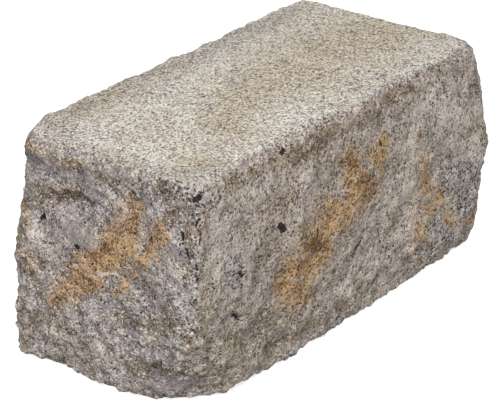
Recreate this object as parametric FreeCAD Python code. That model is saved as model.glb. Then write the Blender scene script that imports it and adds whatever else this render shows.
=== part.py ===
import FreeCAD, Part
import itertools
import math
import os
import random
from collections import namedtuple

# Retaining wall block of pressed concrete, in millimetres.
# It is one solid piece. The top and the bottom are flat bed faces, as the mould left them. The four
# sides are split faces, broken in facets, so each one swells, leans and has hollows of its own, and
# tumbling has worn every arris and corner round.
# X runs along the block, the long front face looks along -Y, and Z is up. The origin is on the bottom
# bed, under the middle of the block's overall box.

# Nominal size: between the two beds, and between the lines along which the sides are split
LENGTH = 250.0
DEPTH = 125.0
HEIGHT = 125.0

# How far up or down a side the wear of its arrises reaches
BOTTOM_WEAR_RISE = 6.0
TOP_WEAR_DROP = 8.0

# A split side. Low, middle and high say how far it stands out past its split line at the bottom bed,
# at half height and at the top bed. The two wears say how far its arris has gone back on each bed.
Side = namedtuple("Side", "low middle high bottom_wear top_wear")
SIDES = {
    "front": Side(low=1.0, middle=4.0, high=-0.5, bottom_wear=2.5, top_wear=7.0),
    "far_end": Side(low=1.0, middle=6.5, high=1.0, bottom_wear=3.0, top_wear=3.5),
    "rear": Side(low=2.0, middle=-1.5, high=0.0, bottom_wear=3.0, top_wear=3.0),
    "near_end": Side(low=9.5, middle=5.0, high=2.5, bottom_wear=2.0, top_wear=3.0),
}

# How far from a vertical corner its rounding begins, at the bottom bed, at half height and at the top
# bed. Each corner is named by the side that ends there, anticlockwise as seen from above.
Corner = namedtuple("Corner", "bottom middle top")
CORNERS = {
    "front": Corner(bottom=12.5, middle=8.0, top=20.0),
    "far_end": Corner(bottom=16.0, middle=8.5, top=14.0),
    "rear": Corner(bottom=22.5, middle=12.0, top=37.0),
    "near_end": Corner(bottom=70.5, middle=12.5, top=16.0),
}

# The swells and hollows that the splitting left on a side. Along and up place a lump's centre as a
# share of the side's length and height, the reaches say how far it spreads and proud how far it
# stands out, which is below zero for a hollow.
Lump = namedtuple("Lump", "side along up reach_along reach_up proud")
LUMPS = (
    Lump("front", 0.04, 0.55, 20.0, 40.0, -2.2),
    Lump("front", 0.16, 0.80, 26.0, 18.0, 2.0),
    Lump("front", 0.22, 0.28, 30.0, 24.0, -3.7),
    Lump("front", 0.34, 0.55, 24.0, 22.0, 2.4),
    Lump("front", 0.44, 0.84, 26.0, 16.0, -1.6),
    Lump("front", 0.50, 0.36, 26.0, 22.0, -2.0),
    Lump("front", 0.60, 0.66, 24.0, 24.0, 2.2),
    Lump("front", 0.74, 0.44, 26.0, 30.0, -2.0),
    Lump("front", 0.84, 0.78, 22.0, 20.0, 1.6),
    Lump("front", 0.94, 0.45, 24.0, 34.0, 1.4),
    Lump("far_end", 0.30, 0.60, 28.0, 28.0, 1.8),
    Lump("far_end", 0.74, 0.34, 28.0, 26.0, -2.0),
    Lump("far_end", 0.62, 0.86, 30.0, 10.0, -1.8),
    Lump("rear", 0.12, 0.45, 28.0, 30.0, 1.8),
    Lump("rear", 0.36, 0.66, 30.0, 24.0, -2.0),
    Lump("rear", 0.60, 0.30, 30.0, 26.0, 1.8),
    Lump("rear", 0.84, 0.62, 28.0, 26.0, -1.8),
    Lump("near_end", 0.00, 0.94, 26.0, 9.0, 1.8),
    Lump("near_end", 0.00, 0.80, 26.0, 8.0, -2.1),
    Lump("near_end", 0.04, 0.28, 32.0, 32.0, 3.2),
    Lump("near_end", 0.26, 0.95, 40.0, 7.0, 2.2),
    Lump("near_end", 0.26, 0.86, 36.0, 7.0, -2.0),
    Lump("near_end", 0.24, 0.66, 22.0, 12.0, 1.8),
    Lump("near_end", 0.42, 0.22, 26.0, 18.0, 2.5),
    Lump("near_end", 0.66, 0.36, 24.0, 20.0, -2.2),
    Lump("near_end", 0.86, 0.62, 20.0, 34.0, 1.8),
)

# The sound outline at each height is a smooth curve round a row of control points. The corner share
# says how near to a corner the two points that round it lie, as a share of its rounding's length.
STATION_GAP = 28.0  # along the outline
CORNER_SHARE = 0.4
CURVE_DEGREE = 3

# The facets in which the sides broke. So many columns of them lie over each gap of the outline curve,
# narrower ones round a tight corner.
FACET_RISE = 6.5  # up the sides
FACET_COLUMNS = 4

# The roughness of the break, which is the same at each build: how far apart its lumps lie, how far
# the highest of them would stand out, and the number that picks their heights.
LUMP_GAP = 13.0
LUMP_DEPTH = 2.4
BREAK_SEED = 23

# The rolled wear of an arris runs in three narrow bands, from the bed to the sound side. Each band
# begins at these shares of the wear's height and of its depth.
WEAR_BANDS = ((0.0, 1.0), (0.12, 0.55), (0.45, 0.16))


def through_three(low, middle, high, share):
    """The value at a share from 0 to 1 of the parabola through a low, a middle and a high value."""
    return (
        low * (1 - share) * (1 - 2 * share)
        + middle * 4 * share * (1 - share)
        + high * share * (2 * share - 1)
    )


def row_heights():
    """The rows of facet corners from the bottom bed up, as height and shares of the two wears."""
    low, high = BOTTOM_WEAR_RISE, HEIGHT - TOP_WEAR_DROP
    gaps = math.ceil((high - low) / FACET_RISE)
    bottom = [(BOTTOM_WEAR_RISE * up, wear, 0.0) for up, wear in WEAR_BANDS]
    sound = [(low + (high - low) * n / gaps, 0.0, 0.0) for n in range(gaps + 1)]
    top = [(HEIGHT - TOP_WEAR_DROP * down, 0.0, wear) for down, wear in reversed(WEAR_BANDS)]
    return bottom + sound + top


def lattice_height(cell):
    """The height from -1 to 1 that the break has at one point of the lattice of lumps."""
    return random.Random(f"{BREAK_SEED} {cell}").uniform(-1, 1)


def roughness(point):
    """How far the break stands out at a point, blended from the corners of its cell of the lattice."""
    cell = [math.floor(value / LUMP_GAP) for value in point]
    shares = [value / LUMP_GAP - index for value, index in zip(point, cell)]
    blends = [share * share * (3 - 2 * share) for share in shares]
    out = 0.0
    for corner in itertools.product((0, 1), repeat=len(cell)):
        weight = math.prod(blend if step else 1 - blend for step, blend in zip(corner, blends))
        out += weight * lattice_height(tuple(index + step for index, step in zip(cell, corner)))
    return LUMP_DEPTH * out


def relief(name, along, z, length):
    """How far the lumps of a side stand out at a distance along it and a height."""
    out = 0.0
    for lump in LUMPS:
        if lump.side == name:
            across = (along - lump.along * length) / lump.reach_along
            upward = (z - lump.up * HEIGHT) / lump.reach_up
            out += lump.proud * math.exp(-(across**2) - upward**2)
    return out


def side_lines(z, bottom_share, top_share):
    """Each side's name, start, direction, outward normal and length in one row, anticlockwise."""
    out = {
        name: through_three(side.low, side.middle, side.high, z / HEIGHT)
        - side.bottom_wear * bottom_share
        - side.top_wear * top_share
        for name, side in SIDES.items()
    }
    left, right = -LENGTH / 2 - out["near_end"], LENGTH / 2 + out["far_end"]
    front, rear = -DEPTH / 2 - out["front"], DEPTH / 2 + out["rear"]
    corners = [(left, front), (right, front), (right, rear), (left, rear)]
    lines = []
    for n, name in enumerate(SIDES):
        start = FreeCAD.Vector(*corners[n], z)
        end = FreeCAD.Vector(*corners[(n + 1) % len(corners)], z)
        direction = (end - start).normalize()
        outward = direction.cross(FreeCAD.Vector(0, 0, 1))
        lines.append((name, start, direction, outward, start.distanceToPoint(end)))
    return lines


def control_row(z, bottom_share, top_share):
    """The control points at one height: the stations of each side, then the two of its corner."""
    roundings = {name: through_three(*corner, z / HEIGHT) for name, corner in CORNERS.items()}
    lines = side_lines(z, bottom_share, top_share)
    points = []
    for n, (name, start, direction, outward, length) in enumerate(lines):
        near_rounding, far_rounding = roundings[lines[n - 1][0]], roundings[name]
        first, last = near_rounding, length - far_rounding
        gaps = math.ceil((LENGTH if name in ("front", "rear") else DEPTH) / STATION_GAP)
        stations = [first + (last - first) * step / gaps for step in range(gaps + 1)]
        for along in [near_rounding * CORNER_SHARE, *stations, length - far_rounding * CORNER_SHARE]:
            points.append(start + direction * along + outward * relief(name, along, z, length))
    return points


def sound_curve(row):
    """The closed smooth curve round the block that a row of control points shapes."""
    knots = list(range(len(row) + 1))
    curve = Part.BSplineCurve()
    curve.buildFromPolesMultsKnots(row, [1] * len(knots), knots, True, CURVE_DEGREE)
    return curve


def ring(height):
    """The facet corners at one height: points of the sound curve, moved in or out by the break."""
    row = control_row(*height)
    curve = sound_curve(row)
    points = []
    for step in range(len(row) * FACET_COLUMNS):
        place = curve.value(step / FACET_COLUMNS)
        outward = curve.tangent(step / FACET_COLUMNS)[0].cross(FreeCAD.Vector(0, 0, 1))
        points.append(place + outward * roughness(place))
    return points


def flat_face(*corners):
    return Part.Face(Part.makePolygon([*corners, corners[0]]))


def facets(lower, upper):
    """The facets between two rings, two in each column, parted by the shorter diagonal."""
    faces = []
    for n in range(len(lower)):
        low_left, low_right = lower[n - 1], lower[n]
        high_left, high_right = upper[n - 1], upper[n]
        if low_left.distanceToPoint(high_right) < low_right.distanceToPoint(high_left):
            faces.append(flat_face(low_left, low_right, high_right))
            faces.append(flat_face(low_left, high_right, high_left))
        else:
            faces.append(flat_face(low_left, low_right, high_left))
            faces.append(flat_face(low_right, high_right, high_left))
    return faces


def make_block():
    """The facets of the sides and of the worn arrises, closed by the two beds, over the origin."""
    rings = [ring(height) for height in row_heights()]
    faces = [flat_face(*rings[0]), flat_face(*rings[-1])]
    for lower, upper in zip(rings, rings[1:]):
        faces += facets(lower, upper)
    shell = Part.makeShell(faces)
    shell.sewShape()
    block = Part.makeSolid(shell)
    box = block.optimalBoundingBox(False, False)
    block.translate(FreeCAD.Vector(-box.Center.x, -box.Center.y, 0))
    return block


def main():
    os.makedirs("parts", exist_ok=True)
    block = make_block()
    if not block.isValid() or not block.isClosed():
        raise ValueError("the block isn't one valid closed solid")
    block.exportStep("parts/wall_block.step")
    box = block.optimalBoundingBox(False, False)
    print(
        f"wall_block {box.XLength:.1f} x {box.YLength:.1f} x {box.ZLength:.1f} mm,"
        f" {block.Volume / 1e6:.3f} litres"
    )


main()
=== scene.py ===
import math

import bmesh
import bpy
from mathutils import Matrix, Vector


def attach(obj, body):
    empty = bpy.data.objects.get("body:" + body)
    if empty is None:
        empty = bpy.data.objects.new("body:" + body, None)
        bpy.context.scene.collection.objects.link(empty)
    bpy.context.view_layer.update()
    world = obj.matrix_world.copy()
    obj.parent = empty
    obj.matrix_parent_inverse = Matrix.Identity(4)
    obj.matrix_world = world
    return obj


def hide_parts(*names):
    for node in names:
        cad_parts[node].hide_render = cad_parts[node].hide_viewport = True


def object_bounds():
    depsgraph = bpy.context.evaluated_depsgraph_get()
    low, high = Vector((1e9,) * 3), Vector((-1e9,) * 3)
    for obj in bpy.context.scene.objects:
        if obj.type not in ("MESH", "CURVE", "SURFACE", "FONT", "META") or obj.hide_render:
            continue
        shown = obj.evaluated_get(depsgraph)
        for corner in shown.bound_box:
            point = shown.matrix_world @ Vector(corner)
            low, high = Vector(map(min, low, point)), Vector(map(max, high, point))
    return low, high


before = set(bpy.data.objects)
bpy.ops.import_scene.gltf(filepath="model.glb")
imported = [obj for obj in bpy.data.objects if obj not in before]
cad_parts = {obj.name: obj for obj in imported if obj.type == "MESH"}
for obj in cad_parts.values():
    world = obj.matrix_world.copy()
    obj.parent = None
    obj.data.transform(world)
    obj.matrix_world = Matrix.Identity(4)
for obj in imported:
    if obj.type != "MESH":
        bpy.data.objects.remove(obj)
cad_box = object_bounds()

# The marks in the concrete
# The block is pressed from concrete in two colours that were not mixed through, so ochre veins and
# slate-grey clouds run through it, and weather has left its own marks. Some marks are painted
# shade, on the top bed's rims and under the arrises. Each mark follows a line on the surface, in
# millimetres, with the half width that it has at each point.

METRE = 1000  # millimetres


def traced(name, lines):
    """A curve object with one spline for each line of (x, y, z, half width) in millimetres."""
    curve = bpy.data.curves.new(name, "CURVE")
    curve.dimensions = "3D"
    for line in lines:
        spline = curve.splines.new("POLY")
        spline.points.add(len(line) - 1)
        for point, (x, y, z, half_width) in zip(spline.points, line):
            point.co = (x / METRE, y / METRE, z / METRE, 1)
            point.radius = half_width / METRE
    marks = bpy.data.objects.new(name, curve)
    bpy.context.scene.collection.objects.link(marks)
    return marks


# Where the ochre concrete comes to the surface
ochre_veins = traced(
    "ochre_veins",
    [
        [
            (-126, -21, 104, 5), (-126, -18, 97, 8), (-127, -17, 89, 10),
            (-129, -17, 83, 11), (-129, -13, 77, 11),
        ],
        [
            (-126, -12, 96, 5), (-127, -8, 89, 6), (-128, -6, 82, 7),
            (-129, -3, 75, 7), (-130, 3, 70, 6),
        ],
        [
            (-129, -39, 101, 4), (-130, -37, 95, 6), (-129, -33, 88, 7),
            (-129, -29, 81, 6), (-129, -22, 74, 6),
        ],
        [
            (-129, -13, 77, 10), (-129, -8, 72, 10), (-130, 3, 66, 9),
            (-130, 12, 60, 9), (-130, 18, 56, 8),
        ],
        [(-131, 23, 51, 7), (-130, 17, 52, 9), (-129, 10, 54, 8), (-130, 2, 56, 6)],
        [(-133, 30, 40, 6), (-133, 28, 43, 8), (-131, 24, 47, 7)],
        [(-128, -18, 69, 4), (-129, -14, 61, 5), (-129, -9, 54, 4)],
        [
            (28, -64, 99, 6), (21, -66, 91, 11), (15, -66, 85, 12),
            (8, -66, 80, 14), (-1, -65, 75, 12),
        ],
        [(-3, -63, 103, 6), (-4, -64, 94, 11), (-5, -64, 87, 8), (-9, -64, 80, 6)],
        [
            (-1, -65, 76, 12), (-12, -65, 75, 14), (-22, -65, 72, 15),
            (-31, -65, 68, 15), (-38, -66, 63, 14),
        ],
        [
            (-38, -66, 63, 14), (-46, -67, 60, 13), (-53, -66, 56, 13),
            (-58, -64, 51, 12), (-62, -62, 47, 10),
        ],
        [(-30, -65, 57, 10), (-38, -65, 50, 12), (-46, -64, 44, 13), (-52, -63, 40, 11)],
        [(-64, -62, 48, 8), (-55, -63, 41, 10), (-46, -62, 33, 9), (-38, -63, 31, 6)],
        [(67, -63, 73, 4), (70, -64, 64, 5), (72, -63, 54, 5)],
        [(82, -65, 49, 4), (84, -65, 43, 4)],
        [(75, -64, 41, 4), (77, -64, 36, 4)],
        [(65, -62, 34, 5), (69, -63, 27, 5)],
        [(92, -65, 28, 4), (97, -65, 23, 4)],
        [(121, -65, 22, 4), (120, -64, 18, 4)],
        [(130, -40, 30, 4), (130, -30, 36, 7), (130, -24, 48, 5)],
        [(130, -18, 52, 8), (131, -8, 58, 10), (131, -4, 70, 7)],
        [(131, 2, 70, 6), (130, 10, 84, 9), (129, 8, 94, 4)],
        [(130, 22, 50, 3), (130, 30, 60, 6), (130, 30, 74, 4)],
        [(96, 63, 34, 6), (80, 63, 50, 10), (60, 63, 58, 10), (42, 63, 74, 11), (30, 64, 92, 7)],
        [(-28, 63, 40, 7), (-42, 63, 54, 10), (-52, 64, 72, 11), (-66, 64, 86, 7)],
        [(-92, 63, 30, 5), (-98, 63, 46, 4)],
    ],
)
# The thin ochre round the veins, and the paler ochre at the far end of the front
ochre_haze = traced(
    "ochre_haze",
    [
        [
            (17, -64, 97, 13), (3, -66, 86, 15), (-3, -66, 73, 13),
            (-17, -65, 67, 13), (-30, -65, 59, 14),
        ],
        [(-30, -65, 59, 14), (-46, -66, 56, 14), (-55, -64, 46, 13), (-46, -63, 32, 8)],
        [(-24, -66, 47, 8), (-18, -65, 55, 8), (-11, -65, 60, 8)],
        [
            (58, -64, 96, 8), (60, -64, 80, 13), (66, -64, 60, 16),
            (68, -64, 42, 18), (64, -64, 24, 16),
        ],
        [(82, -64, 50, 7), (90, -64, 36, 7), (98, -63, 24, 6)],
        [(-127, -4, 78, 12), (-127, -24, 88, 13), (-129, 12, 58, 11), (-131, 28, 42, 8)],
        [(-128, 54, 86, 4), (-129, 50, 80, 5), (-131, 51, 72, 3)],
        [(-132, 52, 61, 5), (-132, 48, 55, 5)],
        [(-129, -58, 52, 5), (-128, -56, 45, 5)],
        [(-124, 48, 118, 5), (-125, 34, 118, 5), (-125, 18, 117, 4)],
        [(130, -2, 60, 14), (130, 22, 78, 12)],
        [(60, 64, 66, 16), (-48, 64, 66, 16), (-96, 64, 60, 10)],
    ],
)
# Burnt brown grit in and beside the veins
umber_freckles = traced(
    "umber_freckles",
    [
        [(-4, -63, 103, 4), (-2, -64, 98, 5), (-1, -65, 93, 4)],
        [(5, -66, 87, 5), (11, -66, 80, 7), (16, -65, 73, 6)],
        [(-50, -67, 71, 4), (-42, -67, 66, 6), (-30, -65, 58, 5)],
        [(-50, -62, 112, 6), (-34, -61, 110, 8), (-22, -62, 106, 7), (-14, -62, 98, 5)],
        [(-49, -61, 103, 6), (-55, -63, 96, 6), (-68, -63, 96, 7), (-81, -64, 97, 6)],
        [
            (-81, -64, 97, 6), (-72, -64, 88, 8), (-64, -64, 82, 8),
            (-66, -64, 74, 8), (-78, -64, 72, 6),
        ],
        [(-127, -20, 98, 4), (-127, -19, 91, 4)],
        [(-123, -54, 118, 4), (-124, -59, 113, 4), (-126, -60, 105, 5), (-127, -52, 100, 4)],
        [(-127, -59, 48, 3), (-130, -55, 54, 3)],
        [(-129, -1, 76, 4), (-130, 5, 70, 4)],
        [(-128, 41, 88, 5), (-128, 38, 92, 5), (-126, 30, 97, 5), (-126, 18, 98, 5)],
        [(-127, -26, 62, 3), (-128, -31, 61, 4), (-127, -26, 54, 3)],
        [(130, -4, 68, 6), (130, 4, 80, 5)],
        [
            (-104, -59, 121, 3), (-60, -58, 121, 4), (-10, -58, 121, 4),
            (40, -58, 121, 3), (90, -57, 121, 3),
        ],
        [(66, 64, 60, 8), (46, 64, 72, 7), (-50, 64, 68, 8)],
    ],
)
# Dark basalt grit, close together
slate_clouds = traced(
    "slate_clouds",
    [
        [(-129, -4, 59, 2.5), (-129, -8, 58, 3.5), (-129, -10, 62, 2.5)],
        [(-131, 36, 54, 2.5), (-132, 31, 52, 2.5)],
        [(-130, -24, 81, 1.6), (-128, -26, 86, 1.6), (-128, -30, 90, 1.6)],
        [(-126, 38, 103, 2), (-125, 34, 106, 3)],
        [
            (-110, -63, 81, 3), (-105, -63, 78, 5), (-100, -64, 74, 6),
            (-104, -63, 70, 5), (-96, -64, 66, 4),
        ],
        [(-100, -63, 47, 2), (-97, -63, 42, 2.5)],
        [(6, -65, 48, 1.6), (4, -64, 44, 2), (3, -63, 40, 1.6)],
        [(86, -65, 60, 4), (93, -66, 58, 7), (102, -65, 53, 9), (111, -66, 46, 9)],
        [(105, -65, 58, 5), (112, -66, 51, 8), (119, -67, 42, 7)],
        [(83, -64, 57, 3), (90, -65, 50, 5), (102, -65, 43, 5), (112, -66, 37, 5)],
        [(80, -64, 30, 4), (86, -65, 33, 4)],
        [(99, -66, 34, 5), (108, -66, 29, 7), (119, -66, 27, 5)],
        [(82, -63, 25, 5), (89, -65, 20, 7), (102, -64, 10, 5)],
        [(67, -62, 16, 4), (73, -63, 16, 4), (81, -65, 13, 5)],
        [(-84, -63, 18, 2), (-82, -63, 16, 2)],
        [(34, -62, 104, 2), (38, -62, 98, 2)],
        [(-126, -46, 121, 5), (-125, -54, 119, 6), (-121, -60, 118, 6), (-111, -61, 117, 5)],
        [(-126, -58, 113, 4), (-127, -57, 108, 4)],
        [(-127, -50, 98, 2.5), (-128, -53, 96, 2)],
        [(-127, -50, 98, 4), (-130, -54, 93, 5), (-129, -60, 87, 4), (-128, -62, 79, 3)],
        [(-129, -57, 53, 6), (-128, -56, 46, 6)],
        [(-128, -60, 66, 2.5), (-128, -58, 63, 2)],
        [(-127, -58, 47, 2), (-126, -57, 43, 2)],
        [(130, 30, 44, 6), (130, 42, 34, 8)],
        [(98, 63, 84, 7), (108, 62, 70, 8)],
        [(4, 63, 50, 6), (-6, 63, 40, 5)],
    ],
)
# Cracks under the top arris
crevices = traced(
    "crevices",
    [
        [
            (-126, 42, 93, 2), (-126, 34, 95, 3), (-126, 22, 98, 3),
            (-126, 10, 99, 3), (-126, 4, 100, 2),
        ],
        [(130, -46, 100, 2), (130, -20, 104, 3), (130, 6, 102, 2)],
        [(70, 64, 98, 2), (40, 64, 104, 3), (12, 64, 102, 2)],
    ],
)
# Rims that stand out where the break turned
lips = traced(
    "lips",
    [
        [
            (-122, 58, 114, 6), (-124, 46, 117, 6), (-125, 30, 118, 5),
            (-125, 12, 119, 4), (-125, 0, 120, 3),
        ],
        [(129, -46, 114, 5), (129, -10, 118, 5)],
    ],
)
# Air voids and lost grains
voids = traced(
    "voids",
    [
        [(-130, 17, 72, 1.6), (-130, 16, 71, 1.3)],
        [(-128, 43, 80, 1.1), (-127, 41, 82, 1.3)],
        [(-129, 0, 76, 0.7), (-129, 1, 74, 0.7)],
        [(-128, -32, 92, 0.7), (-128, -31, 90, 0.7)],
        [(-64, -64, 83, 1.6), (-62, -64, 80, 1.9)],
        [(-35, -66, 71, 0.7), (-35, -66, 67, 1.4)],
        [(-51, -67, 72, 0.9), (-48, -67, 73, 0.9)],
        [(-50, -67, 58, 0.8), (-52, -66, 54, 0.8)],
        [(7, -65, 49, 0.6), (4, -64, 44, 0.9), (3, -63, 39, 0.7)],
        [(-58, -60, 121, 1.3), (-56, -59, 122, 1.1)],
        [(24, -64, 99, 1.0), (25, -64, 96, 0.8)],
        [(-101, -63, 47, 1.1), (-98, -63, 44, 1.1)],
        [(-98, -64, 70, 1.0), (-96, -64, 67, 0.9)],
        [(-122, -58, 119, 1.6), (-125, -57, 118, 1.2)],
        [(-126, -61, 109, 0.9), (-127, -59, 106, 0.8)],
        [(-128, -60, 66, 0.9), (-128, -60, 64, 0.8)],
        [(-127, -50, 99, 0.9), (-128, -52, 96, 0.8)],
        [(-126, -62, 101, 0.8), (-126, -62, 98, 0.7)],
        [(-130, -55, 92, 0.8), (-130, -56, 89, 0.9)],
        [(-129, -61, 86, 1.0), (-128, -62, 83, 0.7)],
        [(-127, -62, 78, 0.9), (-128, -60, 76, 0.7)],
        [(-10, -63, 6, 1.2), (-8, -63, 6, 0.8)],
        [(30, 64, 60, 1.4), (32, 64, 62, 1.2)],
        [(-80, 64, 88, 1.2), (-79, 64, 90, 1.4)],
        [(130, 20, 48, 1.4), (130, 22, 50, 1.2)],
    ],
)
# Lime that was washed out along fine cracks
chalk_lines = traced(
    "chalk_lines",
    [
        [(-130, 29, 56, 0.6), (-130, 21, 60, 0.9), (-130, 14, 63, 0.8), (-130, 8, 67, 0.5)],
        [(-129, 10, 58, 0.6), (-129, 0, 62, 1.0), (-129, -8, 65, 0.9), (-128, -16, 70, 0.5)],
        [(-66, -64, 70, 0.9), (-69, -64, 67, 1.1), (-74, -64, 68, 0.7), (-80, -64, 66, 0.5)],
        [(-42, -63, 45, 0.5), (-50, -64, 48, 0.8), (-58, -64, 52, 0.5)],
        [(-128, -10, 52, 0.8), (-128, -13, 54, 0.8)],
        [(105, -65, 90, 1.1), (107, -65, 88, 1.2)],
        [(14, -64, 48, 1.2), (10, -64, 43, 0.8)],
    ],
)
# Grey cement that breaks through the veins
grey_gaps = traced(
    "grey_gaps",
    [
        [(6, -65, 94, 3), (13, -65, 89, 4), (18, -66, 82, 3)],
        [(-13, -62, 91, 4), (-13, -63, 84, 4), (-10, -64, 78, 3)],
        [(-30, -64, 45, 2), (-26, -64, 41, 3)],
        [(-127, -13, 100, 1.4), (-127, -12, 92, 1.4)],
        [(-127, -28, 100, 3), (-128, -26, 92, 2.4), (-128, -24, 84, 2)],
        [(-130, 10, 47, 2), (-130, 2, 47, 3)],
        [(60, 64, 52, 4), (48, 64, 64, 4), (-50, 64, 60, 4)],
        [(130, -10, 60, 4), (130, 4, 74, 4)],
    ],
)
# Cement paste without gravel
smooth_patches = traced(
    "smooth_patches",
    [
        [(-127, 21, 88, 6), (-128, 18, 83, 7), (-130, 19, 78, 5)],
        [(-129, 10, 82, 5), (-130, 14, 74, 5)],
        [(-129, -53, 92, 5), (-130, -57, 86, 4), (-128, -46, 90, 5)],
        [(-125, 3, 118, 4), (-125, -4, 119, 3)],
        [(-130, -32, 10, 5), (-128, -42, 11, 6), (-122, -50, 10, 5)],
        [(130, -30, 84, 8), (130, -36, 70, 6)],
        [(-8, 64, 84, 9), (-10, 64, 96, 6)],
    ],
)
# Algae and earth in olive patches, and painted shade in the same olive in the hollows and under the
# arrises
olive_patches = traced(
    "olive_patches",
    [
        [(-127, -46, 108, 6), (-126, -52, 102, 6), (-126, -42, 103, 5)],
        [(-126, -34, 120, 6), (-126, -48, 120, 9), (-125, -56, 116, 10), (-116, -61, 116, 9)],
        [(-127, -56, 111, 8), (-128, -56, 98, 6), (-129, -58, 88, 5)],
        [(-129, -57, 53, 6), (-128, -56, 46, 7), (-127, -55, 38, 5)],
        [(-129, -31, 42, 5), (-129, -36, 38, 4)],
        [(-127, 8, 114, 4), (-127, -4, 114, 5)],
        [(44, -62, 110, 5), (56, -62, 111, 5)],
        [(-133, -22, 16, 6), (-132, -30, 13, 7)],
        [(-134, 22, 27, 6), (-133, 14, 25, 5)],
        [(-117, -62, 64, 5), (-116, -62, 56, 5)],
        [(-108, -60, 12, 7), (-100, -59, 9, 6)],
        [(-127, -56, 54, 5), (-128, -36, 44, 8), (-128, -6, 40, 7)],
        [(-124, -60, 70, 4), (-122, -61, 54, 4), (-118, -60, 20, 6)],
        [(-125, 50, 118, 6), (-126, 38, 119, 6), (-127, 28, 118, 5), (-127, 14, 118, 5)],
        [(-126, 46, 95, 5), (-126, 30, 99, 5), (-126, 16, 101, 4)],
        [(-127, 54, 85, 6), (-130, 55, 62, 6), (-132, 51, 54, 6), (-134, 38, 38, 5)],
        [(-128, 38, 62, 7), (-131, 40, 54, 6)],
        [(-130, 44, 26, 4), (-130, 24, 22, 4)],
        [(-127, -30, 22, 5), (-126, -44, 18, 6)],
        [(112, -64, 88, 3), (117, -64, 79, 5), (124, -66, 73, 5)],
        [(97, -64, 104, 3), (101, -64, 101, 3)],
        [(42, -62, 100, 6), (46, -62, 90, 7), (42, -62, 80, 5)],
        [(38, -64, 52, 7), (44, -64, 40, 7)],
        # Painted shade under the top arris of the front
        [
            (-118, -60, 119, 5), (-90, -60, 118, 5), (-50, -61, 117, 7),
            (0, -61, 117, 7), (60, -60, 119, 5),
        ],
        [(60, -61, 115, 4), (100, -60, 116, 4)],
        [(10, -62, 17, 7), (-8, -62, 14, 6)],
        [(-81, -63, 38, 10), (-62, -63, 28, 9)],
        [(-108, -63, 40, 8), (-92, -63, 24, 9)],
        [(-70, -62, 14, 7), (-30, -62, 12, 6)],
        [(-96, -62, 94, 8), (-84, -62, 84, 7)],
        [(90, 64, 96, 8), (60, 64, 30, 9)],
        [(-100, 64, 86, 9), (-20, 64, 20, 8)],
        [(130, 44, 90, 7), (130, -20, 22, 8)],
    ],
)
# Lime bloom
pale_patches = traced(
    "pale_patches",
    [
        [(64, -62, 104, 9), (76, -62, 105, 15), (94, -63, 98, 17), (108, -63, 84, 14)],
        [(56, -63, 90, 16), (52, -64, 66, 16), (56, -64, 44, 15), (54, -64, 24, 13)],
        [(114, -65, 70, 4), (119, -66, 62, 5), (123, -67, 57, 4)],
        [(104, -63, 18, 8), (112, -63, 26, 5)],
        [(54, -62, 28, 8), (60, -62, 22, 7)],
        [(112, -66, 62, 5), (118, -67, 56, 5)],
        [(84, -63, 113, 7), (96, -63, 109, 6)],
        [(-116, -62, 36, 4), (-114, -62, 30, 4)],
        [(84, -63, 110, 8), (104, -62, 104, 8)],
        [
            (70, -63, 34, 9), (50, -63, 22, 10), (24, -63, 26, 10),
            (-8, -63, 28, 9), (-26, -63, 28, 7),
        ],
        [(90, -65, 36, 6), (100, -65, 32, 6)],
        [(-92, -64, 96, 7), (-88, -64, 86, 6)],
        [(-43, -62, 103, 4), (-39, -62, 106, 4)],
        [(-10, -62, 111, 3), (-6, -62, 108, 3)],
        [(32, -64, 60, 8), (24, -64, 40, 9)],
        [(-115, -63, 76, 3), (-115, -63, 60, 3)],
        [(-128, 44, 70, 8), (-130, 34, 62, 5)],
        [(-128, -48, 74, 6), (-128, -50, 66, 6)],
        [(-129, 8, 24, 5), (-129, 0, 20, 5)],
        [(80, 64, 80, 12), (-110, 64, 70, 12), (10, 64, 30, 12)],
    ],
)
# Painted shade on the edges of the top bed, where its worn arris turns away from the lamp
soiled_rims = traced(
    "soiled_rims",
    [
        [
            (-118, 38, 125, 7), (-104, 52, 125, 10), (-70, 55, 125, 14),
            (-20, 55, 125, 15), (30, 55, 125, 14),
        ],
        [(30, 55, 125, 14), (70, 54, 125, 12), (104, 54, 125, 9)],
        [(-121, -34, 125, 8), (-118, -50, 125, 11), (-104, -57, 125, 7), (-84, -58, 125, 4)],
        [(-123, 34, 125, 6), (-123, 10, 125, 5), (-123, -12, 125, 5), (-121, -34, 125, 7)],
        [(-60, -57, 125, 3), (0, -57, 125, 3), (60, -57, 125, 3)],
        [(-117, -36, 125, 6), (-113, -45, 125, 9), (-100, -51, 125, 7)],
    ],
)
# Warmer sand in the skin of the beds
warm_sand = traced(
    "warm_sand",
    [
        [
            (-60, -22, 125, 12), (-20, -6, 125, 18), (30, 4, 125, 26),
            (80, -2, 125, 32), (112, -6, 125, 30),
        ],
        [(-104, -34, 125, 8), (-96, -44, 125, 7)],
        [(-90, 52, 125, 12), (-50, 56, 125, 8)],
        [(40, -10, 0, 30), (-60, 10, 0, 24)],
    ],
)

# The block's shape
# The sides are as coarse as the gravel that they broke through, and the beds have only the fine
# sand grain of the mould. The shape starts from the sound form, set back a little, and its lumps,
# chips and gravel stand out and go in from there.


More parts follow.
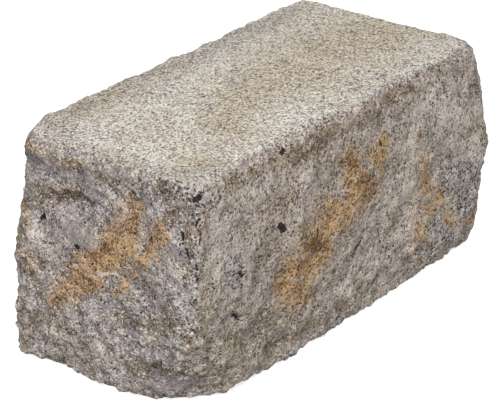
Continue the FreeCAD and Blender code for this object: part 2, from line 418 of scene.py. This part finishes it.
class Wire:
    """A socket of a node tree. An expression on wires adds its Math nodes to the tree."""

    def __init__(self, bench, socket):
        self.bench = bench
        self.socket = socket

    def math(self, operation, *values):
        inputs = dict(enumerate((self, *values)))
        return self.bench.node("ShaderNodeMath", {"operation": operation}, inputs)

    def __add__(self, other):
        return self.math("ADD", other)

    def __radd__(self, other):
        return self.math("ADD", other)

    def __sub__(self, other):
        return self.math("SUBTRACT", other)

    def __rsub__(self, other):
        return (self * -1).math("ADD", other)

    def __mul__(self, other):
        return self.math("MULTIPLY", other)

    def __rmul__(self, other):
        return self.math("MULTIPLY", other)

    def __truediv__(self, other):
        return self.math("DIVIDE", other)

    def most(self, other):
        return self.math("MAXIMUM", other)

    def least(self, other):
        return self.math("MINIMUM", other)

    def exp(self):
        return self.math("EXPONENT")

    def step(self, low, high):
        """Rises smoothly from 0 to 1 while the wire goes from low to high."""
        return self.bench.node(
            "ShaderNodeMapRange",
            {"interpolation_type": "SMOOTHSTEP"},
            {"Value": self, "From Min": low, "From Max": high},
        )


class Bench:
    """A node tree, and the one way in which its nodes are added."""

    def __init__(self, tree):
        self.tree = tree

    def node(self, kind, settings=None, inputs=None, out=0):
        """The wire of a new node's output, or the wires of all the outputs that a tuple names."""
        node = self.tree.nodes.new(kind)
        for name, value in (settings or {}).items():
            setattr(node, name, value)
        for name, value in (inputs or {}).items():
            if isinstance(value, Wire):
                self.tree.links.new(value.socket, node.inputs[name])
            else:
                node.inputs[name].default_value = value
        if isinstance(out, tuple):
            return [Wire(self, node.outputs[name]) for name in out]
        return Wire(self, node.outputs[out]) if len(node.outputs) else None

    def noise(self, place, size, detail, rough, seed=0.0, out=0):
        """Noise about 0 to 1 whose lumps are size apart."""
        inputs = {"Vector": place, "W": seed, "Scale": 1 / size}
        inputs |= {"Detail": detail, "Roughness": rough}
        return self.node("ShaderNodeTexNoise", {"noise_dimensions": "4D"}, inputs, out)

    def grains(self, place, size, out=0):
        """The distance to the nearest grain's middle, or other outputs, for grains of a size."""
        return self.node("ShaderNodeTexVoronoi", None, {"Vector": place, "Scale": 1 / size}, out)

    def vector(self, operation, first, second):
        return self.node("ShaderNodeVectorMath", {"operation": operation}, {0: first, 1: second})

    def scaled(self, vector, factor):
        inputs = {0: vector, "Scale": factor}
        return self.node("ShaderNodeVectorMath", {"operation": "SCALE"}, inputs)

    def mixed(self, first, second, part):
        """The first colour going over to the second as the part goes from 0 to 1."""
        return self.node("ShaderNodeMix", {"data_type": "RGBA"}, {0: part, 6: first, 7: second}, 2)

    def millimetres(self, vector):
        return self.scaled(vector, METRE)


# How far apart the forms of the break lie, and how far its gravel is pushed out of order, all in
# millimetres
LUMPS_APART = 12
WEAR_APART = 9
TEARS_APART = 9
CHIPS_APART = 6
GRAVEL_SIZE = 3.6
GRAVEL_PUSH = 6.0

# How far a ragged mark and a fine one are torn at their edges, and how closely a mark's line is
# followed, all in metres
TORN = 0.013
FRAYED = 0.004
MARK_STEP = 0.0015

relief_tree = bpy.data.node_groups.new("split_relief", "GeometryNodeTree")
relief_inputs = {
    "Geometry": ("NodeSocketGeometry", None),
    "Material": ("NodeSocketMaterial", None),
    "Ochre Veins": ("NodeSocketObject", ochre_veins),
    "Ochre Haze": ("NodeSocketObject", ochre_haze),
    "Umber Freckles": ("NodeSocketObject", umber_freckles),
    "Slate Clouds": ("NodeSocketObject", slate_clouds),
    "Crevices": ("NodeSocketObject", crevices),
    "Lips": ("NodeSocketObject", lips),
    "Voids": ("NodeSocketObject", voids),
    "Chalk Lines": ("NodeSocketObject", chalk_lines),
    "Grey Gaps": ("NodeSocketObject", grey_gaps),
    "Smooth Patches": ("NodeSocketObject", smooth_patches),
    "Olive Patches": ("NodeSocketObject", olive_patches),
    "Pale Patches": ("NodeSocketObject", pale_patches),
    "Soiled Rims": ("NodeSocketObject", soiled_rims),
    "Warm Sand": ("NodeSocketObject", warm_sand),
    "Set Back": ("NodeSocketFloat", 0.0004),
    "Lump Depth": ("NodeSocketFloat", 0.0012),
    "Chip Depth": ("NodeSocketFloat", 0.0016),
    "Gravel Depth": ("NodeSocketFloat", 0.0008),
    "Bed Depth": ("NodeSocketFloat", 0.0004),
    "Crevice Depth": ("NodeSocketFloat", 0.0014),
    "Lip Height": ("NodeSocketFloat", 0.0006),
    "Low Corner": ("NodeSocketVector", tuple(cad_box[0])),
    "High Corner": ("NodeSocketVector", tuple(cad_box[1])),
    "Seed": ("NodeSocketFloat", 4.0),
}
sockets = {
    name: relief_tree.interface.new_socket(name, in_out="INPUT", socket_type=kind)
    for name, (kind, _) in relief_inputs.items()
}
relief_tree.interface.new_socket("Geometry", in_out="OUTPUT", socket_type="NodeSocketGeometry")
bench = Bench(relief_tree)
given = dict(zip(relief_inputs, bench.node("NodeGroupInput", out=tuple(relief_inputs))))

position = bench.node("GeometryNodeInputPosition")
place = bench.millimetres(position)
raw_normal = bench.node("GeometryNodeInputNormal")


def evened(passes):
    """The normals, evened out over their neighbours."""
    blurred = bench.node(
        "GeometryNodeBlurAttribute",
        {"data_type": "FLOAT_VECTOR"},
        {"Value": raw_normal, "Iterations": passes},
    )
    return bench.node("ShaderNodeVectorMath", {"operation": "NORMALIZE"}, {0: blurred})


normal = evened(passes=5)
wide_normal = evened(passes=14)
upright = bench.node("ShaderNodeSeparateXYZ", inputs={0: wide_normal}, out="Z").math("ABSOLUTE")
across = bench.node("ShaderNodeSeparateXYZ", inputs={0: normal}, out="Y").math("ABSOLUTE")
height_up = bench.node("ShaderNodeSeparateXYZ", inputs={0: position}, out="Z")
tear = bench.noise(place, TEARS_APART, 4, 0.65, out="Color")
tear = bench.vector("SUBTRACT", tear, (0.5, 0.5, 0.5))
torn = bench.vector("ADD", position, bench.scaled(tear, TORN))
frayed = bench.vector("ADD", position, bench.scaled(tear, FRAYED))


def nearness(marks, edge=torn):
    """1 on the middle of a mark, a half at its half width, and 0 at twice that.

    The mark's line is first brought onto the sound surface, and the edge says how ragged it is.
    """
    lines = bench.node("GeometryNodeObjectInfo", inputs={"Object": given[marks]}, out="Geometry")
    points = bench.node(
        "GeometryNodeCurveToPoints",
        {"mode": "LENGTH"},
        {"Curve": lines, "Length": MARK_STEP},
        out="Points",
    )
    beside = bench.node(
        "GeometryNodeProximity",
        {"target_element": "FACES"},
        {"Geometry": given["Geometry"], "Sample Position": position},
    )
    points = bench.node("GeometryNodeSetPosition", inputs={"Geometry": points, "Position": beside})
    away = bench.node(
        "GeometryNodeProximity",
        {"target_element": "POINTS"},
        {"Geometry": points, "Sample Position": edge},
        out="Distance",
    )
    nearest = bench.node(
        "GeometryNodeSampleNearest", inputs={"Geometry": points, "Sample Position": edge}
    )
    radius = bench.node("GeometryNodeInputRadius")
    half_width = bench.node(
        "GeometryNodeSampleIndex", inputs={"Geometry": points, "Value": radius, "Index": nearest}
    )
    return (1 - away / half_width * 0.5).most(0.0)


arris_wear = bench.noise(place, WEAR_APART, 4, 0.65, given["Seed"])
bed = (upright + (arris_wear - 0.5) * 0.7).step(0.84, 0.95)
side = 1 - bed
masks = {
    "ochre": nearness("Ochre Veins") * side,
    "haze": nearness("Ochre Haze") * side,
    "umber": nearness("Umber Freckles") * side,
    "slate": nearness("Slate Clouds") * side,
    "crevice": nearness("Crevices") * side,
    "void": nearness("Voids", frayed) * side,
    "chalk": nearness("Chalk Lines", frayed) * side,
    "gap": nearness("Grey Gaps", frayed) * side,
    "smooth": nearness("Smooth Patches") * side,
    "olive": nearness("Olive Patches") * side,
    "pale": nearness("Pale Patches") * side,
    "soiled": nearness("Soiled Rims") * bed,
    "warm": nearness("Warm Sand") * bed,
    "bed": bed,
    "front": across.step(0.6, 0.85),
}

smoothed = masks["smooth"].step(0.3, 0.7)
lumps = bench.noise(place, LUMPS_APART, 4, 0.6, given["Seed"]).step(0.28, 0.72)
chips = bench.noise(place, CHIPS_APART, 3, 0.65, given["Seed"]).step(0.28, 0.72)
gravel_place = bench.vector("ADD", place, bench.scaled(tear, GRAVEL_PUSH))
gravel = bench.grains(gravel_place, GRAVEL_SIZE).step(0.8, 0.1)
# The break is coarser near the ground, and calmer on the front and where there is only paste.
coarse = height_up.step(0.075, 0.035) * 0.45 + 0.8
calm = coarse * (1 - smoothed * 0.7) * (1 - masks["front"] * 0.3)
rise = (
    ((lumps - 0.5) * given["Lump Depth"] + (chips - 0.5) * given["Chip Depth"]) * calm
    + (gravel - 0.5) * given["Gravel Depth"] * calm
    + nearness("Lips").step(0.2, 0.9) * given["Lip Height"]
    - masks["crevice"].step(0.2, 0.9) * given["Crevice Depth"]
    - masks["void"].step(0.2, 0.8) * given["Crevice Depth"]
    - given["Set Back"]
)
bed_rise = (chips - 1.0) * given["Bed Depth"]
# The height of the relief, taken out in the crevices. The colour uses it for painted light on the
# tops and painted shade in the hollows.
masks["relief"] = lumps * 0.5 + chips * 0.35 + gravel * 0.15
masks["relief"] = masks["relief"] * (1 - masks["crevice"].step(0.3, 0.9))

shape = given["Geometry"]
for mask_name, mask in masks.items():
    shape = bench.node(
        "GeometryNodeStoreNamedAttribute",
        inputs={"Geometry": shape, "Name": mask_name, "Value": mask},
    )
# Nothing goes outside the sound form's own box.
moved = bench.vector("ADD", position, bench.scaled(normal, rise * side + bed_rise * bed))
moved = bench.vector("MAXIMUM", moved, given["Low Corner"])
moved = bench.vector("MINIMUM", moved, given["High Corner"])
shape = bench.node("GeometryNodeSetPosition", inputs={"Geometry": shape, "Position": moved})
shape = bench.node("GeometryNodeSetShadeSmooth", inputs={"Geometry": shape, "Shade Smooth": True})
shape = bench.node("GeometryNodeRealizeInstances", inputs={"Geometry": shape})
shape = bench.node(
    "GeometryNodeSetMaterial", inputs={"Geometry": shape, "Material": given["Material"]}
)
bench.node("NodeGroupOutput", inputs={"Geometry": shape})

# The concrete
# Grey cement with a warm sand, white quartz grains and dark basalt ones. Where the mould pressed
# it, a skin of fine pale cement covers the grains.


def tint(red, green, blue):
    """A colour from its 0 to 255 values on screen."""
    values = [value / 255 for value in (red, green, blue)]
    return (*(v / 12.92 if v <= 0.04045 else ((v + 0.055) / 1.055) ** 2.4 for v in values), 1.0)


concrete = bpy.data.materials.new("split_concrete")
concrete.use_nodes = True
concrete.node_tree.nodes.clear()
paint = Bench(concrete.node_tree)
mixed = paint.mixed


def marked(name):
    return paint.node("ShaderNodeAttribute", {"attribute_name": name}, out="Fac")


def share(first, second, part):
    """The first number going over to the second as the part goes from 0 to 1."""
    return first + (second - first) * part


# The patterns, from the widest clouds to the finest grains, with sizes in millimetres. The front is
# combed by faint streaks that lean as its veins do.
relief = marked("relief")
front = marked("front")
spot = paint.millimetres(paint.node("ShaderNodeTexCoord", out="Object"))
slanted = paint.node(
    "ShaderNodeMapping",
    {"vector_type": "TEXTURE"},
    {"Vector": spot, "Rotation": (0, math.radians(18), 0), "Scale": (1, 1, 2.4)},
)
clouds = paint.noise(spot, 34, 3, 0.6, 1.0)
drift = paint.noise(spot, 11, 4, 0.65, 2.0)
mottle = paint.noise(spot, 4.5, 3, 0.6, 3.0)
flecks = paint.noise(spot, 1.8, 3, 0.7, 4.0)
grit = paint.noise(spot, 0.85, 0, 0.6, 6.0)
glints = paint.noise(spot, 2.2, 3, 0.7, 8.0)
bend = paint.noise(spot, 2.4, 2, 0.6, 11.0, out="Color")
bent = paint.vector("ADD", spot, paint.scaled(bend, 1.6))
specks, speck_pick = paint.grains(bent, 1.5, out=("Distance", "Color"))
speck_pick = paint.node("ShaderNodeSeparateColor", inputs={"Color": speck_pick})
speck_core = specks.step(0.62, 0.36)
sand_core, sand = paint.grains(bent, 0.95, out=("Distance", "Color"))
sand = paint.node("ShaderNodeSeparateColor", inputs={"Color": sand})
sand_core = sand_core.step(0.64, 0.40)
streaks = paint.noise(slanted, 4.5, 3, 0.65, 10.0)
wander = (drift - 0.5) * 0.9 + (mottle - 0.5) * 0.9 + (flecks - 0.5) * 0.7
scatter = (drift - 0.5) * 0.7 + (mottle - 0.5) * 0.9 + (flecks - 0.5) * 1.4 + (glints - 0.5) * 1.4

# How much of each mark shows at a spot. Its nearness is frayed by the patterns.
smooth = (marked("smooth") + wander * 0.8).step(0.4, 0.9)
smooth = smooth.most((drift + wander * 0.2).step(0.42, 0.34) * 0.5)
gaps = (marked("gap") + wander * 0.7).step(0.35, 0.8)
ochre = (marked("ochre") + scatter * 1.15).step(0.32, 0.95) * (1 - gaps * 0.8)
haze = (marked("haze") + scatter * 1.1).step(0.5, 1.15) * 0.55 * (1 - gaps * 0.8)
umber = (marked("umber") + wander * 0.8).step(0.3, 0.9)
olive = (marked("olive") + wander).step(0.45, 1.0)
slate = (marked("slate") + scatter * 0.9).step(0.35, 0.95)
pale = (marked("pale") + wander * 0.5).step(0.3, 1.0)
chalk = (marked("chalk") + wander * 0.4).step(0.3, 0.6)

# The cement and sand of the broken sides, with the marks that stain them and the olive painted
# shade
end_matrix = mixed(tint(153, 145, 144), tint(161, 150, 142), clouds.step(0.42, 0.58))
front_matrix = mixed(tint(172, 160, 152), tint(161, 151, 139), clouds.step(0.42, 0.58))
matrix = mixed(end_matrix, front_matrix, front)
matrix = mixed(matrix, tint(134, 119, 94), (drift + wander * 0.1).step(0.56, 0.70) * 0.6)
matrix = mixed(matrix, tint(150, 142, 142), smooth * 0.7)
# Olive algae and earth, and in the hollows and under the arrises painted shade
matrix = mixed(matrix, tint(125, 111, 87), olive * 0.75)
matrix = mixed(matrix, tint(198, 189, 178), pale * 0.7)
haze_colour = mixed(tint(182, 150, 115), tint(204, 178, 148), pale)
matrix = mixed(matrix, haze_colour, haze)
ochre_colour = mixed(tint(177, 142, 98), tint(202, 168, 128), pale)
matrix = mixed(matrix, ochre_colour, ochre * 0.85)
matrix = mixed(matrix, tint(134, 102, 68), umber * (ochre.most(haze) * 0.7 + 0.15))
matrix = mixed(matrix, tint(160, 156, 153), slate * 0.7)
matrix = mixed(matrix, tint(206, 198, 190), chalk * 0.8)

# Its grain, light and dark, with painted light on the tops of the relief and painted shade in its
# hollows. The dark side goes further, as painted shade in the hollows between grains.
tone = (mottle - 0.5) * 0.8 + (grit - 0.5) * 1.4 + (flecks - 0.5) * 1.2 + (relief - 0.5) * 0.9
tone = tone + (sand - 0.5) * 0.75 + (speck_pick - 0.5) * 0.25
tone = tone * share(1.0, 0.45, smooth) + (streaks - 0.5) * front * 0.9
dark_tone = tone.least(0.0) * 0.75
tone = tone * share(0.75, 0.58, front) * (1 - ochre * 0.25) + dark_tone + 0.05
matrix = paint.scaled(matrix, tone.exp())

# Dark basalt grains, coarse and fine. A level is the share of the grains that are dark.
grain_ink = mixed(tint(58, 50, 44), tint(70, 54, 40), front)
grain_ink = mixed(grain_ink, tint(80, 50, 24), ochre.most(haze * 1.6).most(umber).least(1.0))
grain_ink = mixed(grain_ink, tint(40, 38, 40), slate)
clumps = (mottle - 0.5) * 0.5 + (flecks - 0.5) * 0.5
coarse_level = share(0.07, 0.14, front) + slate * 0.42 + olive * 0.08 + umber * 0.06 - smooth * 0.06
coarse_dark = (speck_pick + clumps - coarse_level).step(0.03, -0.03) * speck_core
fine_level = share(0.04, 0.08, front) + ochre * 0.24 + haze * 0.12 + umber * 0.26 + slate * 0.26
fine_dark = (sand + clumps - fine_level).step(0.03, -0.03) * sand_core
side_colour = mixed(matrix, grain_ink, coarse_dark.most(fine_dark) * 0.9)

# White quartz, as dust and as whole grains, with more on the tops of the relief as painted
# highlight
white_level = 0.575 + smooth * 0.06 + ochre * 0.03 - pale * 0.02
whites_and_highlights = (glints * 0.7 + grit * 0.3 + (relief - 0.5) * 0.12 - white_level).step(-0.03, 0.04)
grain_colour = mixed(tint(218, 210, 202), tint(206, 198, 191), front)
grain_colour = mixed(grain_colour, tint(190, 170, 148), ochre * 0.8)
quartz_and_highlights = speck_pick + (glints - 0.5) * 0.8 + (relief - 0.5) * 0.3 - share(0.86, 0.95, front)
quartz_and_highlights = quartz_and_highlights.step(-0.04, 0.04) * speck_core
whiteness = (whites_and_highlights * share(0.82, 0.75, front)).most(quartz_and_highlights * 0.85)
side_colour = mixed(side_colour, grain_colour, whiteness)

# Painted shade in the cracks, and near black painted shade in the voids
crack_shade = (marked("crevice") + wander * 0.9).step(0.5, 0.9)
crack_shade = crack_shade * (glints * 0.6 + grit * 0.4).step(0.56, 0.46)
side_colour = mixed(side_colour, tint(64, 50, 38), crack_shade * 0.85)
void = (marked("void") + wander * 0.2).step(0.35, 0.55)
side_colour = mixed(side_colour, tint(26, 24, 26), void * 0.95)

# The skin of the beds: its cement, its dark and white sand, painted shade on its rims, and pits
# painted as shade
bed_matrix = mixed(tint(204, 199, 192), tint(196, 188, 177), clouds.step(0.4, 0.62))
warm = (marked("warm") + wander * 0.4).step(0.1, 0.9)
bed_matrix = mixed(bed_matrix, tint(177, 162, 136), warm * 0.8)
sandy = (drift * 0.5 + clouds * 0.5).step(0.52, 0.66)
bed_matrix = mixed(bed_matrix, tint(178, 165, 142), sandy * 0.5)
# Painted shade on the top bed's rims: a darker colour here, and more dark sand further down
soiled = (marked("soiled") + wander * 0.6).step(0.2, 0.9)
bed_matrix = mixed(bed_matrix, tint(143, 134, 123), soiled * 0.65)
bed_tone = (flecks - 0.5) * 1.15 + (grit - 0.5) * 2.1 + (mottle - 0.5) * 0.7 + (sand - 0.5) * 0.9
bed_tone = bed_tone * 0.5 + bed_tone.least(0.0) * 1.05 + 0.05
bed_matrix = mixed(bed_matrix, tint(170, 151, 121), bed_tone.step(0.05, -0.45) * 0.55)
bed_matrix = mixed(bed_matrix, tint(208, 202, 195), bed_tone.step(0.05, 0.35) * 0.45)
bed_matrix = paint.scaled(bed_matrix, bed_tone.exp())
bed_dark = sand + clumps * 0.6 - 0.13 - soiled * 0.12
bed_dark = bed_dark.step(0.03, -0.03) * sand_core
bed_colour = mixed(bed_matrix, tint(88, 71, 48), bed_dark * 0.85)
bed_ink = (glints * 0.6 + mottle * 0.4 - 0.385).step(0.01, -0.02)
bed_colour = mixed(bed_colour, tint(82, 68, 50), bed_ink * 0.8)
bed_whites = (glints * 0.6 + grit * 0.4).step(0.55, 0.64)
bed_colour = mixed(bed_colour, tint(222, 215, 206), bed_whites * 0.5)
bed_quartz = (speck_pick - 0.86).step(-0.03, 0.03) * speck_core
bed_colour = mixed(bed_colour, tint(222, 216, 207), bed_quartz * 0.5)
# Pits in the bed's skin, painted as dark spots of shade
pit_shade = paint.grains(spot, 7.0)
bed_colour = mixed(bed_colour, tint(74, 68, 66), pit_shade.step(0.16, 0.09) * 0.8)
colour = mixed(side_colour, bed_colour, marked("bed"))

# What is too fine for the mesh is left to the light on it.
height = mottle * 0.4 + flecks * 0.3 + grit * 0.15 - specks * 0.12
bump = paint.node("ShaderNodeBump", inputs={"Height": height, "Distance": 0.0038, "Strength": 1.0})
shader = paint.node(
    "ShaderNodeBsdfPrincipled",
    inputs={"Base Color": colour, "Roughness": 0.93, "Specular IOR Level": 0.25, "Normal": bump},
)
paint.node("ShaderNodeOutputMaterial", inputs={"Surface": shader})

# The finished piece
# One solid block. A fine even mesh goes over its sound form, takes the relief and then stands in
# for the plain solid.

VOXEL = 0.00137
SMOOTHING_PASSES = 6  # they take the steps out of the even mesh
MERGE_DISTANCE = 1e-6

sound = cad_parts["wall_block"]
form = bmesh.new()
form.from_mesh(sound.data)
bmesh.ops.remove_doubles(form, verts=form.verts, dist=MERGE_DISTANCE)
mesh = bpy.data.meshes.new("split_block")
form.to_mesh(mesh)
form.free()
block = bpy.data.objects.new("split_block", mesh)
bpy.context.scene.collection.objects.link(block)
remesh = block.modifiers.new("even", "REMESH")
remesh.mode = "VOXEL"
remesh.voxel_size = VOXEL
smoothing = block.modifiers.new("smooth", "SMOOTH")
smoothing.factor = 0.5
smoothing.iterations = SMOOTHING_PASSES
relief_modifier = block.modifiers.new("relief", "NODES")
relief_modifier.node_group = relief_tree
for name, (_, value) in relief_inputs.items():
    if name == "Material":
        value = concrete
    if value is not None:
        relief_modifier[sockets[name].identifier] = value
evaluated = block.evaluated_get(bpy.context.evaluated_depsgraph_get())
finished = bpy.data.meshes.new_from_object(evaluated)
block.modifiers.clear()
block.data = finished
for kind, value in relief_inputs.values():
    if kind == "NodeSocketObject":
        bpy.data.objects.remove(value)
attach(block, "root")
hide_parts("wall_block")

# The studio
# A pale floor that runs out of sight, a wide soft lamp above and to the left of the camera, a weak
# one low behind the block, an even sky, and a camera that looks down on the near corner.


def seen_rays(studio):
    """1 for rays that look at a thing, also by mirror or through glass, 0 for those that light."""
    looks = ("Is Camera Ray", "Is Glossy Ray", "Is Transmission Ray")
    camera_ray, glossy_ray, through_ray = studio.node("ShaderNodeLightPath", out=looks)
    return (camera_ray + glossy_ray + through_ray).least(1.0)


FLOOR_REACH = 6.0
floor_corners = [
    (-FLOOR_REACH, -FLOOR_REACH, 0),
    (FLOOR_REACH, -FLOOR_REACH, 0),
    (FLOOR_REACH, FLOOR_REACH, 0),
    (-FLOOR_REACH, FLOOR_REACH, 0),
]
floor_mesh = bpy.data.meshes.new("floor")
floor_mesh.from_pydata(floor_corners, [], [(0, 1, 2, 3)])
floor = bpy.data.objects.new("floor", floor_mesh)
bpy.context.scene.collection.objects.link(floor)
paper = bpy.data.materials.new("paper")
paper.use_nodes = True
paper.node_tree.nodes.clear()
sheet = Bench(paper.node_tree)
seen = seen_rays(sheet)
matt = sheet.node("ShaderNodeBsdfDiffuse", inputs={"Color": (0.6, 0.6, 0.6, 1.0)})
glow = sheet.node("ShaderNodeEmission", inputs={"Color": (1, 1, 1, 1), "Strength": seen * 0.74})
surface = sheet.node("ShaderNodeAddShader", inputs={0: matt, 1: glow})
sheet.node("ShaderNodeOutputMaterial", inputs={"Surface": surface})
floor_mesh.materials.append(paper)

world = bpy.data.worlds.new("studio")
bpy.context.scene.world = world
world.use_nodes = True
world.node_tree.nodes.clear()
sky = Bench(world.node_tree)
seen = seen_rays(sky)
dome = sky.node("ShaderNodeBackground", inputs={"Color": (1, 1, 1, 1), "Strength": 0.42})
white = sky.node("ShaderNodeBackground", inputs={"Color": (1, 1, 1, 1), "Strength": 1.0})
both = sky.node("ShaderNodeMixShader", inputs={0: seen, 1: dome, 2: white})
sky.node("ShaderNodeOutputWorld", inputs={"Surface": both})

LAMP_WIDTH = 0.6
LAMPS = {"softbox": (18, (-0.75, -0.6, 1.2)), "fill": (6, (0.95, 0.95, 0.36))}
for name, (watts, location) in LAMPS.items():
    lamp_data = bpy.data.lights.new(name, "AREA")
    lamp_data.shape = "DISK"
    lamp_data.size = LAMP_WIDTH
    lamp_data.energy = watts
    lamp = bpy.data.objects.new(name, lamp_data)
    bpy.context.scene.collection.objects.link(lamp)
    lamp.location = location
    lamp.rotation_euler = (-lamp.location).to_track_quat("-Z", "Y").to_euler()

CAMERA_TURN = -52.1086
CAMERA_RISE = 25.2075
camera_data = bpy.data.cameras.new("camera")
camera_data.lens = 146.19
camera_data.sensor_width = 36.0
camera_data.clip_end = 20.0
camera = bpy.data.objects.new("camera", camera_data)
bpy.context.scene.collection.objects.link(camera)
camera.location = (-0.80132, -0.61732, 0.53171)
camera.rotation_euler = (math.radians(90 - CAMERA_RISE), 0, math.radians(CAMERA_TURN))
bpy.context.scene.camera = camera
bpy.context.scene.view_settings.view_transform = "Standard"
